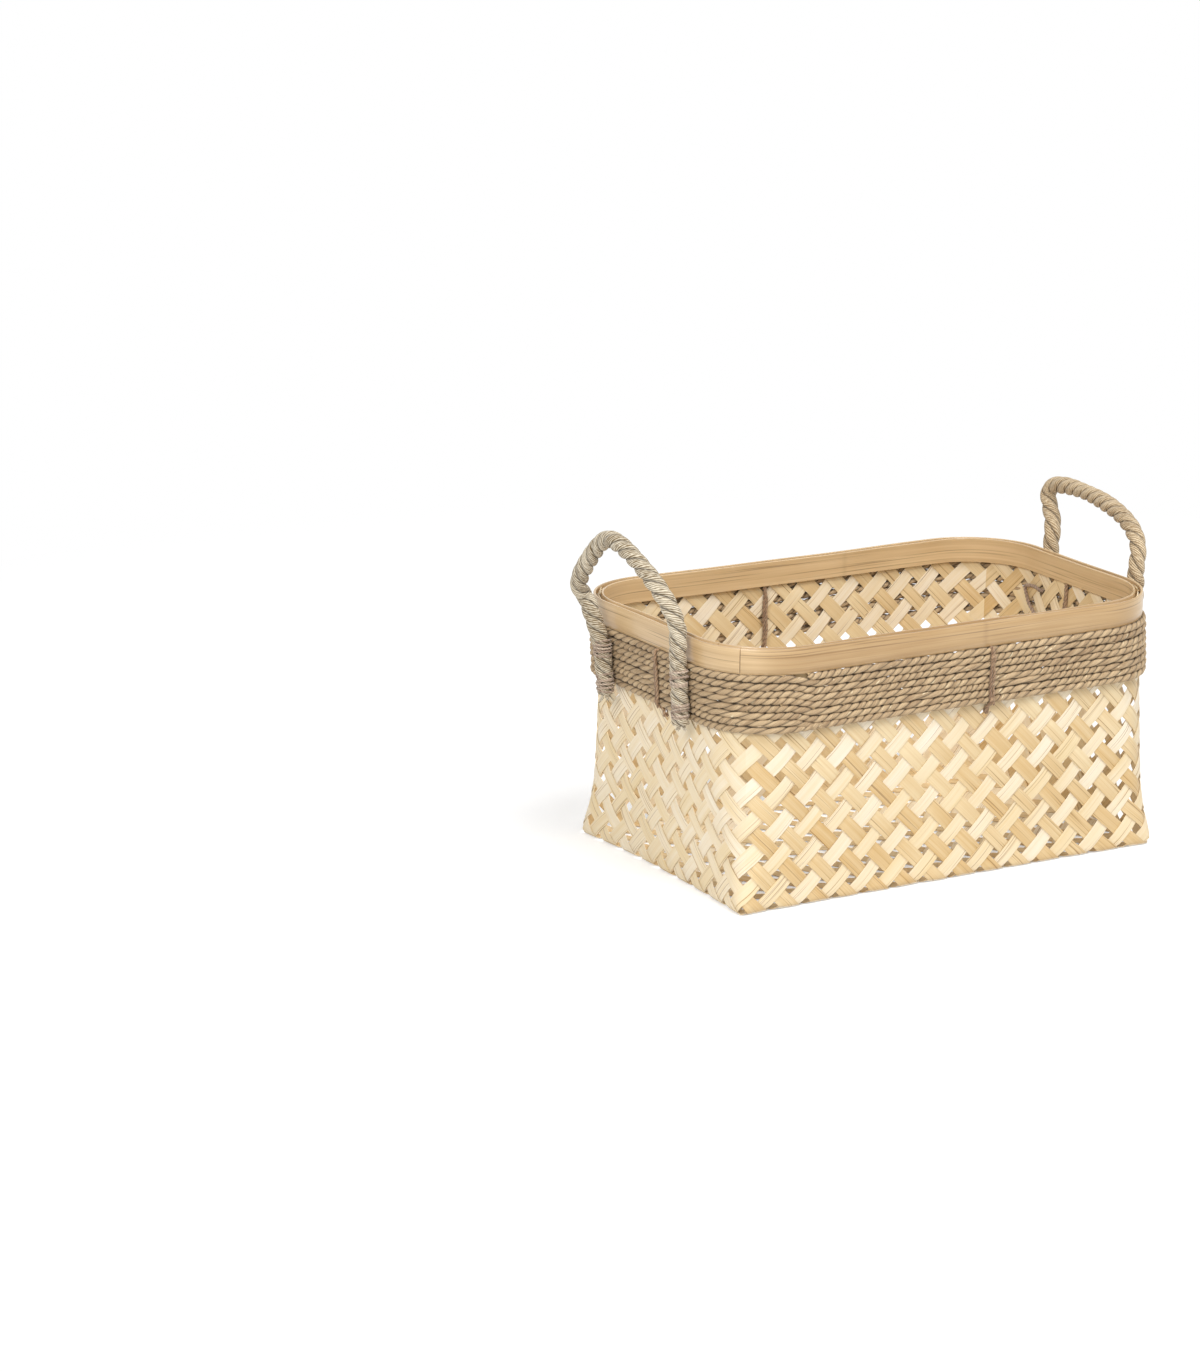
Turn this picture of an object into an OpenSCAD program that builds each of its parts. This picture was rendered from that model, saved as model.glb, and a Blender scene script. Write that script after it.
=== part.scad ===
// Plaited bamboo basket with a hooped rim, a wound cord band and two rope handles.
// Millimetres. +Z is up, the long side runs along X, and the origin is the middle of the base.

/* [Basket] */
// Length over the outer hoop
rim_length = 360; // [330:1:400]
// Width over the outer hoop
rim_width = 224; // [205:1:250]
// Corner radius of the outer hoop
rim_corner = 57; // [45:1:65]
// Height from the floor to the top of the rim
basket_height = 183; // [165:1:205]
// Length of the base over the weave
base_length = 338; // [310:1:370]
// Width of the base over the weave
base_width = 217; // [195:1:235]
// Corner radius of the weave at the base
base_corner = 3; // [2:0.5:6]
// How soon the corners round out above the base, where less is sooner
corner_power = 0.75; // [0.6:0.05:1]

/* [Weave] */
// Wanted distance between two columns of like crossings
column_pitch = 24.2; // [22:0.1:27]
// Wanted distance between two rows of like crossings
row_pitch = 22.4; // [20:0.1:25]
// Width of a bamboo strip
strip_width = 11.2; // [9.5:0.1:11.8]
// Thickness of a bamboo strip
strip_thickness = 0.4; // [0.3:0.05:0.5]
// Air between two strips where they cross
strip_clearance = 0.55; // [0.45:0.05:0.65]

/* [Rim] */
// Height of both hoops
hoop_height = 18; // [17:0.5:21]
// Thickness of the outer hoop
outer_hoop_thickness = 1.7; // [1.4:0.1:2.6]
// Thickness of the inner hoop
inner_hoop_thickness = 1.5; // [1.2:0.1:2.4]
// Width of the butt joint where a hoop's ends meet
hoop_seam = 0.4; // [0.2:0.1:1]
// How far the strips end below the top of the rim
strip_recess = 2; // [1:0.5:4]
// Clearance between pieces that seat on each other
seat = 0.3; // [0.2:0.05:0.5]

/* [Cord band] */
// Diameter of the wound cord
cord_diameter = 4.6; // [4:0.1:5]
// Number of turns under the outer hoop
cord_turns = 8; // [6:1:8]
// Gap between two turns of cord
turn_gap = 0.1; // [0.05:0.05:0.3]
// Diameter of the twine of the ties and lashings
twine_diameter = 1.9; // [1.5:0.1:2.2]

/* [Handles] */
// Diameter of the handle rope
rope_diameter = 12.4; // [9:0.2:14]
// Distance between the two legs of a handle
leg_spacing = 104; // [90:1:120]
// Height of the left loop's top over its two feet
left_rise = 51; // [35:1:65]
// Height of the right loop's top over its two feet
right_rise = 39; // [35:1:65]
// How far the left loop's limbs belly out past its feet
left_belly = 0; // [0:1:20]
// How far the right loop's limbs belly out past its feet
right_belly = 18; // [0:1:20]
// Degrees by which the left loop leans outward at rest
left_lean = 15; // [0:1:30]
// Degrees by which the right loop leans outward at rest
right_lean = 17; // [0:1:30]
// How far the left loop's top has slipped towards the back
left_skew = 13; // [0:1:45]
// How far the right loop's top has slipped towards the back
right_skew = 40; // [0:1:45]
// How far the left loop's back limb bows outward
left_bow = 11; // [0:1:12]
// How far the right loop's back limb bows outward
right_bow = 0; // [0:1:12]
// Length of a leg's cut end below its lower lashing
leg_tail = 4; // [2:1:12]
// Turns of twine in one lashing
lashing_turns = 5; // [3:1:6]

/* [Hidden] */
$fn = 48;

bamboo_pale = "#e3cd9b";
bamboo_tan = "#d3b06c";
hoop_brown = "#b98f5c";
cord_brown = "#9c8262";
rope_grey = "#cfc8b4";
twine_brown = "#84705b";

// Which way each wall faces: turn about Z from the front wall
FRONT = 0;
RIGHT = 90;
BACK = 180;
LEFT = 270;

// --- Lattice of the plait: half columns along a wall or the base, levels up a wall.
// Strips cross where column + level is odd, on the base where column + row is odd, so the
// three strips round each lower corner leave a gap there and every strip runs on over the folds.
long_columns = round(base_length / column_pitch);
side_columns = round(base_width / column_pitch);
long_step = base_length / (2 * long_columns);
side_step = base_width / (2 * side_columns);
lattice_spacing = 2 * long_step * side_step / norm([long_step, side_step]);
edge_share = strip_width / 2 / lattice_spacing;
edges = [-edge_share, edge_share];
bow = (strip_thickness + strip_clearance) / (2 * (1 - 2 * edge_share));
weave_depth = 2 * bow + strip_thickness;
fold_gap = 0.01;

base_bow = (strip_thickness + strip_clearance) / 2;
base_depth = 2 * base_bow + strip_thickness;
wall_foot = base_depth + seat;
hoop_foot = basket_height - hoop_height;
tie_top = hoop_foot - seat - twine_diameter / 2;
tie_level = round((tie_top - wall_foot) / (row_pitch / 2));
level_height = (tie_top - wall_foot) / tie_level;
top_level = (basket_height - strip_recess - wall_foot) / level_height;

// --- Cord band
band_top = tie_top - twine_diameter / 2 - 2 * seat;
turn_pitch = cord_diameter + turn_gap;
band_foot = band_top - cord_diameter - (cord_turns - 1) * turn_pitch;
cord_offset = weave_depth / 2 + seat + cord_diameter / 2;
tie_drop = 2 * ceil((tie_top - band_foot + seat + twine_diameter / 2) / (2 * level_height));

// --- Wall surface, taken at the middle of the weave
rim_half_length = rim_length / 2 - outer_hoop_thickness - seat - weave_depth / 2;
rim_half_width = rim_width / 2 - outer_hoop_thickness - seat - weave_depth / 2;
rim_wall_corner = rim_corner - outer_hoop_thickness - seat - weave_depth / 2;
base_half_length = (base_length - weave_depth) / 2;
base_half_width = (base_width - weave_depth) / 2;

// --- Handles
rope_radius = rope_diameter / 2;
band_reach = rim_half_length + cord_offset + cord_diameter / 2;
leg_reach = max(rim_length / 2, band_reach) + seat + rope_radius;
left_shape = [left_rise, left_belly, left_skew, left_bow];
right_shape = [right_rise, right_belly, right_skew, right_bow];
pivot_height = basket_height + rope_radius + 2 * seat;
leg_top = pivot_height - rope_radius - seat;
lashing_height = lashing_turns * twine_diameter;
upper_lashing = level_z(tie_level - 1);
lower_lashing = level_z(tie_level - 3);
leg_foot = lower_lashing - lashing_height / 2 - leg_tail;
loop_rings = 18;
rope_sides = 8;
// Rings of a rope's domed end: how far past the pivot and how wide, as shares of the radius
DOME = [[0.42, 0.9], [0.85, 0.5]];

function rise(z) = min(max(z, 0) / hoop_foot, 1);
function mix(a, b, share) = a + (b - a) * share;
function half_length(z) = mix(base_half_length, rim_half_length, rise(z));
function half_width(z) = mix(base_half_width, rim_half_width, rise(z));
function corner(z) = mix(base_corner, rim_wall_corner, pow(rise(z), corner_power));
function level_z(level) = wall_foot + level * level_height;
function columns(long) = long ? long_columns : side_columns;
function is_even(i) = abs(i) % 2 == 0;
function whole(x) = round(x * 100) / 100;

// Point on a wall that faces the front: m half columns from its left corner, at height z, pushed
// out by out
function wall_point(long, m, z, out) =
    let (along = long ? half_length(z) : half_width(z),
        across = long ? half_width(z) : half_length(z),
        r = corner(z),
        s = (m / (2 * columns(long)) - 0.5) * (2 * (along - r) + r * PI / 2),
        turn = max(0, abs(s) - (along - r)) / r * 180 / PI)
    turn == 0 ? [s, -across - out, z]
        : [sign(s) * (along - r + (r + out) * sin(turn)), r - across - (r + out) * cos(turn), z];

// Point on one edge of a strip: t steps up it, v across it, on its outer or inner side.
// Rising strips pass outside on even columns and falling ones on odd columns.
function strip_point(long, falling, d, t, v, side) =
    let (m = d + t + v,
        below = floor(t),
        lift = (is_even(d + below) != falling ? 1 : -1) * bow * (1 - 2 * (t - below)))
    wall_point(long, falling ? 2 * columns(long) - m : m, level_z(t - v), lift + side * strip_thickness / 2);

// Closed skin over rings of equally many points. The two halves of a ring are split along
// matching diagonals, so that a thin strip keeps its thickness where it twists.
module skin(rings, flip = false) {
    sides = len(rings[0]);
    last = len(rings) - 1;
    points = [for (ring = rings) each ring];
    walls = [for (i = [0:last - 1], k = [0:sides - 1])
        let (a = i * sides + k, b = i * sides + (k + 1) % sides)
        each k >= sides / 2 ? [[a, b + sides, b], [a, a + sides, b + sides]]
            : [[a, a + sides, b], [b, a + sides, b + sides]]];
    caps = [for (k = [1:sides - 2]) each [[0, k, k + 1],
        [last * sides, last * sides + k + 1, last * sides + k]]];
    faces = concat(walls, caps);
    polyhedron(points, flip ? [for (f = faces) [f[0], f[2], f[1]]] : faces);
}

// One strip of a wall, from the base or the corner before up to the rim or the corner after.
// The strips of two walls meet on the line down the middle of the corner.
module wall_strip(long, falling, d) {
    past = 2 * columns(long) - fold_gap - d;
    starts = [for (v = edges) max(v, fold_gap - d - v)];
    ends = [for (v = edges) min(top_level + v, past - v)];
    crossings = [for (j = [ceil(min(starts)):floor(max(ends))])
        [for (i = [0, 1]) min(max(j, starts[i] + fold_gap), ends[i] - fold_gap)]];
    rings = [for (s = concat([starts], crossings, [ends]))
        [for (corner_of = [[0, 1], [1, 1], [1, -1], [0, -1]])
            strip_point(long, falling, d, s[corner_of[0]], edges[corner_of[0]], corner_of[1])]];
    skin(rings, flip = falling);
}

// The strips whose centre lines start an odd number of half columns from the wall's corner
module wall_strips(long, falling, facing) {
    low = ceil(2 * edge_share - top_level);
    rotate([0, 0, facing])
        for (d = [low:2 * columns(long) - 1]) if (!is_even(d)) wall_strip(long, falling, d);
}

// --- Base
module base_outline() {
    flat = [base_length - 2 * base_corner, base_width - 2 * base_corner];
    square([flat[0], base_width], center = true);
    square([base_length, flat[1]], center = true);
    for (x = [-1, 1], y = [-1, 1]) translate([x * flat[0], y * flat[1]] / 2) circle(base_corner);
}

// Side view of a base strip whose centre line has column + row = sum. Falling strips pass
// underneath on even columns and rising ones on odd columns.
module base_wave(sum, falling) {
    first = max(0, sum - 2 * side_columns) - 1;
    last = min(2 * long_columns, sum) + 1;
    step = norm([long_step, side_step]);
    flat = strip_width / 2 + strip_clearance;
    middle = [for (k = [first:last], side = [-1, 1])
        [k * step + side * flat, base_depth / 2 + (is_even(k) != falling ? 1 : -1) * base_bow]];
    top = [for (p = middle) p + [0, strip_thickness / 2]];
    under = [for (i = [len(middle) - 1:-1:0]) middle[i] - [0, strip_thickness / 2]];
    polygon(concat(top, under));
}

module base_strip(sum, falling) {
    intersection() {
        translate([-base_length / 2, sum * side_step - base_width / 2, 0])
            rotate([0, 0, -atan2(side_step, long_step)]) rotate([90, 0, 0])
                linear_extrude(height = strip_width, center = true) base_wave(sum, falling);
        linear_extrude(height = base_depth) base_outline();
    }
}

module base_strips(falling) {
    mirror([0, falling ? 0 : 1, 0])
        for (sum = [1:2:2 * (long_columns + side_columns) - 1]) base_strip(sum, falling);
}

// Sweeps a profile round a rounded rectangle: the profile's x points outward and its y up
module around(a, b, r) {
    for (c = [[1, 1, 0], [-1, 1, 90], [-1, -1, 180], [1, -1, 270]])
        translate([c[0] * (a - r), c[1] * (b - r), 0]) rotate([0, 0, c[2]])
            rotate_extrude(angle = 90) translate([r, 0]) children();
    for (turn = [0, 180]) rotate([0, 0, turn]) {
        translate([a, 0, 0]) rotate([90, 0, 0])
            linear_extrude(height = 2 * (b - r), center = true) children();
        rotate([0, 0, 90]) translate([b, 0, 0]) rotate([90, 0, 0])
            linear_extrude(height = 2 * (a - r), center = true) children();
    }
}

// --- Rim: a hoop whose inner face stands off the middle of the weave, slit where its ends meet
module hoop(offset, thickness, seam_angle) {
    difference() {
        translate([0, 0, hoop_foot])
            around(rim_half_length + offset, rim_half_width + offset, rim_wall_corner + offset)
                square([thickness, hoop_height]);
        translate([rim_wall_corner - rim_half_length, rim_wall_corner - rim_half_width, hoop_foot])
            rotate([0, 0, seam_angle]) translate([0, -hoop_seam / 2, -seat])
                cube([2 * rim_wall_corner, hoop_seam, hoop_height + 2 * seat]);
    }
}

module outer_hoop() {
    color(hoop_brown) hoop(weave_depth / 2 + seat, outer_hoop_thickness, 222);
}

module inner_hoop() {
    color(hoop_brown) hoop(-weave_depth / 2 - seat - inner_hoop_thickness, inner_hoop_thickness, 200);
}

// --- Cord band: the turns of one cord, stacked under the outer hoop
module cord_band() {
    color(cord_brown) for (i = [0:cord_turns - 1]) {
        z = band_top - cord_diameter / 2 - i * turn_pitch;
        translate([0, 0, z])
            around(whole(half_length(z) + cord_offset), whole(half_width(z) + cord_offset),
                whole(corner(z) + cord_offset))
                circle(d = cord_diameter);
    }
}

// --- Ties: a ring of twine through two gaps of the weave, round the cord band
module twine_ring(outer, inner, drop) {
    bend = twine_diameter;
    for (c = [[outer - bend, -bend, 0], [inner + bend, -bend, 90],
            [inner + bend, bend - drop, 180], [outer - bend, bend - drop, 270]])
        translate([c[0], c[1], 0]) rotate([0, 0, c[2]])
            rotate_extrude(angle = 90) translate([bend, 0]) circle(d = twine_diameter, $fn = 24);
    for (x = [inner, outer]) translate([x, bend - drop, 0]) rotate([-90, 0, 0])
        cylinder(d = twine_diameter, h = drop - 2 * bend, $fn = 24);
    for (y = [0, -drop]) translate([inner + bend, y, 0]) rotate([0, 90, 0])
        cylinder(d = twine_diameter, h = outer - inner - 2 * bend, $fn = 24);
}

// Column of a gap just past the middle of a wall
function tie_column(long) = 2 * floor(columns(long) / 2) + (is_even(tie_level) ? 2 : 1);

module tie(long, facing) {
    foot = level_z(tie_level - tie_drop);
    m = tie_column(long);
    high = wall_point(long, m, tie_top, 0);
    low = wall_point(long, m, foot, 0);
    slope = atan2(low[1] - high[1], tie_top - foot);
    outer = whole(cord_offset + (cord_diameter + twine_diameter) / 2 + seat);
    inner = whole(-weave_depth / 2 - seat - twine_diameter / 2);
    color(twine_brown) rotate([0, 0, facing]) translate(high) rotate([slope, 0, 0])
        rotate([90, 0, -90]) twine_ring(outer, inner, whole((tie_top - foot) / cos(slope)));
}

// --- Handles, drawn on a wall that faces the front
function loop_centre(t, towards, shape) =
    [-cos(180 * t) * leg_spacing / 2 - shape[1] * sin(360 * t) * sin(180 * t)
        + towards * shape[2] * pow(sin(180 * t), 2),
    -shape[3] * sqrt(sin(180 * t)) * max(0, -towards * cos(180 * t)),
    shape[0] * sin(180 * t)];

// One ring of the loop's rope, square to its heading
function loop_ring(centre, heading, radius) =
    let (side = [heading[2], 0, -heading[0]] / norm([heading[2], heading[0]]), across = cross(heading, side))
    [for (k = [0:rope_sides - 1])
        let (a = 360 * (k + 0.5) / rope_sides)
        centre + radius * (cos(a) * side + sin(a) * across)];

// Domed end of the rope round its pivot, from the full ring outward
function loop_dome(centre, heading) =
    [for (d = DOME) loop_ring(centre - [0, 0, d[0]] * rope_radius, heading, d[1] * rope_radius)];

module handle_loop(facing, lean, towards, shape) {
    centres = [for (i = [0:loop_rings]) loop_centre(i / loop_rings, towards, shape)];
    headings = [for (i = [0:loop_rings])
        let (step = centres[min(i + 1, loop_rings)] - centres[max(i - 1, 0)])
        i == 0 ? [0, 0, 1] : i == loop_rings ? [0, 0, -1] : step / norm(step)];
    body = [for (i = [0:loop_rings]) loop_ring(centres[i], headings[i], rope_radius)];
    start = loop_dome(centres[0], headings[0]);
    end = loop_dome(centres[loop_rings], headings[loop_rings]);
    color(rope_grey) rotate([0, 0, facing]) translate([0, -leg_reach, pivot_height])
        rotate([lean, 0, 0]) skin(concat([start[1], start[0]], body, end));
}

module handle_leg(facing, along) {
    color(rope_grey) rotate([0, 0, facing]) translate([along, -leg_reach, leg_foot])
        cylinder(d = rope_diameter, h = leg_top - leg_foot);
}

// One lashing seen end on: turns of twine side by side
module lashing_profile() {
    bulge = twine_diameter * 0.3;
    turns = [for (i = [0:lashing_turns - 1], p = [[0, 0.05], [1, 0.3], [1, 0.7], [0, 0.95]])
        [twine_diameter - bulge + p[0] * bulge, (i + p[1]) * twine_diameter - lashing_height / 2]];
    polygon(concat([[0, lashing_height / 2], [0, -lashing_height / 2]], turns));
}

// A lashing's saddle over a leg, reaching back to the cord band
module saddle(z) {
    reach = leg_reach - half_length(z) - cord_offset - cord_diameter / 2 - seat;
    bore = rope_radius + seat;
    translate([0, 0, z]) {
        rotate([0, 0, 180]) rotate_extrude(angle = 180) translate([bore, 0]) lashing_profile();
        for (side = [0, 1]) mirror([side, 0, 0]) translate([bore, reach, 0]) rotate([90, 0, 0])
            linear_extrude(height = reach) lashing_profile();
    }
}

// Straight run of twine between two points
module twine_run(from, to) {
    run = to - from;
    translate(from) rotate([0, acos(run[2] / norm(run)), atan2(run[1], run[0])])
        cylinder(d = twine_diameter, h = norm(run), $fn = 24);
}

// The lashing's twine inside the basket: across, down and across between free gaps of the weave
module inner_stitch(along) {
    column = (along / (half_width(upper_lashing) - corner(upper_lashing) * (1 - PI / 4)) + 1)
        * side_columns;
    parity = is_even(tie_level) ? 1 : 0;
    before = 2 * floor((column - 0.5 - parity) / 2) + parity;
    after = 2 * ceil((column + 0.5 - parity) / 2) + parity;
    inside = -weave_depth / 2 - seat - twine_diameter / 2;
    corners = [for (c = [[before, upper_lashing], [after, upper_lashing],
            [before, lower_lashing], [after, lower_lashing]])
        [for (x = wall_point(false, c[0], c[1], inside)) whole(x)]];
    holes = [wall_point(false, before, upper_lashing, weave_depth / 2),
        wall_point(false, after, lower_lashing, weave_depth / 2)];
    for (i = [0:2]) twine_run(corners[i], corners[i + 1]);
    twine_run(corners[0], holes[0]);
    twine_run(corners[3], holes[1]);
    for (p = corners) translate(p) sphere(d = twine_diameter * 1.1, $fn = 24);
}

module lashing(facing, along) {
    color(twine_brown) rotate([0, 0, facing]) {
        translate([along, -leg_reach, 0]) {
            saddle(upper_lashing);
            saddle(lower_lashing);
        }
        inner_stitch(along);
    }
}

outer_hoop();
inner_hoop();
cord_band();
color(bamboo_tan) base_strips(false);  // base_rising_strips
color(bamboo_pale) base_strips(true);  // base_falling_strips
color(bamboo_pale) wall_strips(true, false, FRONT);  // front_rising_strips
color(bamboo_tan) wall_strips(true, true, FRONT);  // front_falling_strips
color(bamboo_tan) wall_strips(false, false, RIGHT);  // right_rising_strips
color(bamboo_pale) wall_strips(false, true, RIGHT);  // right_falling_strips
color(bamboo_pale) wall_strips(true, false, BACK);  // back_rising_strips
color(bamboo_tan) wall_strips(true, true, BACK);  // back_falling_strips
color(bamboo_tan) wall_strips(false, false, LEFT);  // left_rising_strips
color(bamboo_pale) wall_strips(false, true, LEFT);  // left_falling_strips
tie(true, FRONT);  // front_tie
tie(false, RIGHT);  // right_tie
tie(true, BACK);  // back_tie
tie(false, LEFT);  // left_tie
handle_loop(LEFT, left_lean, -1, left_shape);  // left_handle_loop
handle_leg(LEFT, leg_spacing / 2);  // left_handle_front_leg
handle_leg(LEFT, -leg_spacing / 2);  // left_handle_back_leg
handle_loop(RIGHT, right_lean, 1, right_shape);  // right_handle_loop
handle_leg(RIGHT, -leg_spacing / 2);  // right_handle_front_leg
handle_leg(RIGHT, leg_spacing / 2);  // right_handle_back_leg
lashing(LEFT, leg_spacing / 2);  // left_front_lashing
lashing(LEFT, -leg_spacing / 2);  // left_back_lashing
lashing(RIGHT, -leg_spacing / 2);  // right_front_lashing
lashing(RIGHT, leg_spacing / 2);  // right_back_lashing
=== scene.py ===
from math import pi, radians

import bpy
import numpy as np
from mathutils import Matrix, Vector


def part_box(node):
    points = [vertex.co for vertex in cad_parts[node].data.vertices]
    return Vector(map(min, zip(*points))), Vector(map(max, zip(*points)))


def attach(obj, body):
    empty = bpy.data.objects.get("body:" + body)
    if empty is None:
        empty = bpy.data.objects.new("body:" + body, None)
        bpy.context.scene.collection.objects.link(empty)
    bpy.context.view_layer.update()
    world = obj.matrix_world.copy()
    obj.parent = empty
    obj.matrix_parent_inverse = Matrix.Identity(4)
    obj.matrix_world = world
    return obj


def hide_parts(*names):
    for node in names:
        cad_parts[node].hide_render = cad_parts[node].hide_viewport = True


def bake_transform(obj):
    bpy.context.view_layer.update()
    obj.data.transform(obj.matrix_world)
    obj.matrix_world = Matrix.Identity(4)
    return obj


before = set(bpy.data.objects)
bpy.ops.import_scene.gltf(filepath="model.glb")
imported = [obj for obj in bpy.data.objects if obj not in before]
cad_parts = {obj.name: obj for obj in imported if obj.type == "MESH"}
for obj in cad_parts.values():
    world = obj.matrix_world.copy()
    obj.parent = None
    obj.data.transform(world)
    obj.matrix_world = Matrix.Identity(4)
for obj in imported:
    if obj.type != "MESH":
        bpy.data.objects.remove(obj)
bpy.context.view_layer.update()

MM = 0.001

# --- Sizes of the basket, from its solids and from the gauge of its strips, cord and rope
hoop_low, hoop_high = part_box("outer_hoop")
inner_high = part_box("inner_hoop")[1]
base_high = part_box("base_falling_strips")[1]

HOOP_FOOT, RIM_TOP = hoop_low.z, hoop_high.z
HOOP_CORNER = 57 * MM
HOOP_THICK = 1.7 * MM
INNER_THICK = 1.5 * MM
# From the outer face of the rim to the middle of the plait, and from the base's edge
RIM_TO_PLAIT = 3.577 * MM
EDGE_TO_PLAIT = 1.577 * MM
RIM_HALF = np.array([hoop_high.x, hoop_high.y]) - RIM_TO_PLAIT
BASE_HALF = np.array([base_high.x, base_high.y]) - EDGE_TO_PLAIT
RIM_CORNER = HOOP_CORNER - RIM_TO_PLAIT
BASE_CORNER = 3 * MM
CORNER_POWER = 0.75

# How far the lower corners stand out along and across, and which way and how far the back left corner does
FLARE, FLARE_REACH = (4 * MM, 1.5 * MM), 45 * MM
PUSH_WAY, PUSH_REACH = (-0.65, 0.75), 70 * MM
PUSH_LOW, PUSH_MORE_AT_RIM = 4 * MM, 3.5 * MM

# The lattice: half columns along the long and the short walls, levels up to the hoops
LONG, SHORT = 28, 18
RING = 2 * (LONG + SHORT)
CORNER_AT = np.array([0, LONG, LONG + SHORT, 2 * LONG + SHORT, RING])
WALL_FOOT = 1.65 * MM
LEVEL = (HOOP_FOOT - 1.25 * MM - WALL_FOOT) / 14
TOP_LEVEL = (RIM_TOP - 2.2 * MM - WALL_FOOT) / LEVEL
STEP = 17.1 * MM

# The strips
STRIP_THICK = 0.36 * MM
STRIP_WIDTHS = {"pale": 10.8 * MM, "tan": 10.4 * MM}
WIDTH_SPREAD = 0.6 * MM
ASIDE_SPREAD = 0.35 * MM
WALL_LIFT = 0.36 * MM
BASE_LIFT = 0.34 * MM
BASE_MIDDLE = BASE_LIFT + STRIP_THICK / 2 + 0.06 * MM
FOLD = 3 * MM
RINGS_PER_STEP = 9
ACROSS = 5

# The cord, twine and rope
CORD_RADIUS = 2.5 * MM
CORD_LAPS = 8
CORD_PITCH = 5.0 * MM
CORD_OUT = 3.5 * MM
# Half columns from the left front corner to where the cord begins, and how much of a lap each step down takes
CORD_BEGINS = 4.2
CORD_STEP = 0.022
TWINE_RADIUS = 0.95 * MM
ROPE_RADIUS = 6.2 * MM
CORD_LAY, ROPE_LAY, TWINE_LAY, TIE_LAY = -16 * MM, -30 * MM, 5.5 * MM, 7 * MM
LEG_REACH = 189.4 * MM
LEG_HALF = 52 * MM
PIVOT_HEIGHT = 189.8 * MM
LASHING_LEVELS = (13, 11)


# --- Numbers that wander smoothly
def wander(where, wavelength, seed):
    """Smooth value of about -1 to 1 over points whose last axis holds their coordinates."""
    random = np.random.default_rng(seed)
    where = np.asarray(where, float)
    total = 0.0
    for _ in range(5):
        wave = random.normal(size=where.shape[-1])
        wave *= random.uniform(0.6, 1.6) / np.linalg.norm(wave) / wavelength
        total = total + np.sin(2 * pi * (where @ wave) + random.uniform(0, 2 * pi))
    return total / 3


def along_wander(lengths, wavelength, seed):
    return wander(np.asarray(lengths)[..., None], wavelength, seed)


def smooth(value):
    value = np.clip(value, 0, 1)
    return value * value * (3 - 2 * value)


def unit(vectors):
    return vectors / np.maximum(np.linalg.norm(vectors, axis=-1, keepdims=True), 1e-12)


# --- The surface that the plait follows
def rise(z):
    return np.clip(z / HOOP_FOOT, 0, 1)


def half_side(axis, z):
    return BASE_HALF[axis] + (RIM_HALF[axis] - BASE_HALF[axis]) * rise(z)


def corner_radius(z):
    return BASE_CORNER + (RIM_CORNER - BASE_CORNER) * rise(z) ** CORNER_POWER


def wall_point(ring, z, out):
    """Point on the walls, ring half columns round them from the front left corner, pushed out by out."""
    ring, z, out = np.broadcast_arrays(np.mod(ring, RING), z, out)
    side = np.searchsorted(CORNER_AT[1:4], ring, side="right")
    is_long = side % 2 == 0
    along = np.where(is_long, half_side(0, z), half_side(1, z))
    across = np.where(is_long, half_side(1, z), half_side(0, z))
    share = (ring - CORNER_AT[side]) / np.where(is_long, LONG, SHORT)
    radius = corner_radius(z)
    run = (share - 0.5) * (2 * (along - radius) + radius * pi / 2)
    turn = np.maximum(np.abs(run) - (along - radius), 0) / radius
    x = np.where(turn > 0, np.sign(run) * (along - radius + (radius + out) * np.sin(turn)), run)
    y = np.where(turn > 0, radius - across - (radius + out) * np.cos(turn), -across - out)
    angle = side * pi / 2
    return np.stack([x * np.cos(angle) - y * np.sin(angle), x * np.sin(angle) + y * np.cos(angle), z], -1)


def folded(up):
    """How far in from the wall and how high a strip lies, up past the line on which it folds."""
    angle = np.clip((up + FOLD) / (2 * FOLD), 0, 1) * pi / 2
    inset = np.where(up < -FOLD, -up, FOLD * (1 - np.sin(angle)))
    return inset, FOLD * (1 - np.cos(angle))


def base_point(col, row):
    """Point in the middle of the plait of the base, whose outer half columns fold upward."""
    place, height = [], BASE_MIDDLE
    for axis, (count, value) in enumerate(((LONG, col), (SHORT, row))):
        half = BASE_HALF[axis] - BASE_CORNER * (1 - pi / 4)
        step = 2 * half / count
        from_edge = np.minimum(value, count - value)
        inset, lifted = folded(-from_edge * step)
        outer = BASE_HALF[axis] - inset
        inner = half - from_edge * step
        blended = inner + (outer - inner) * smooth(2 - from_edge * step / FOLD)
        place.append(np.sign(value - count / 2) * blended)
        height = height + lifted
    return np.stack([place[0], place[1], height + 0 * place[0]], -1)


def wall_lattice_point(ring, level):
    """Point in the middle of the plait of the walls, which starts from the folded edge."""
    up = level * LEVEL
    inset, lifted = folded(up)
    flat = WALL_FOOT + FOLD
    z = np.where(up < FOLD, BASE_MIDDLE + lifted / FOLD * (flat - BASE_MIDDLE), WALL_FOOT + up)
    side = np.searchsorted(CORNER_AT[1:4], np.mod(ring, RING), side="right")
    count = np.where(side % 2 == 0, LONG, SHORT)
    from_corner = np.mod(ring, RING) - CORNER_AT[side]
    from_corner = np.minimum(from_corner, count - from_corner) * STEP * 0.7
    near = folded(-from_corner)[1] * smooth(1 - up / (12 * MM))
    point = wall_point(ring, z, np.where(up < FOLD, -inset, 0))
    point[..., 2] += near
    return point


EXITS = {
    "front": lambda col, row: wall_lattice_point(col, -row),
    "right": lambda col, row: wall_lattice_point(LONG + row, col - LONG),
    "back": lambda col, row: wall_lattice_point(2 * LONG + SHORT - col, row - SHORT),
    "left": lambda col, row: wall_lattice_point(RING - row, -col),
    "base": base_point,
}


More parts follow.
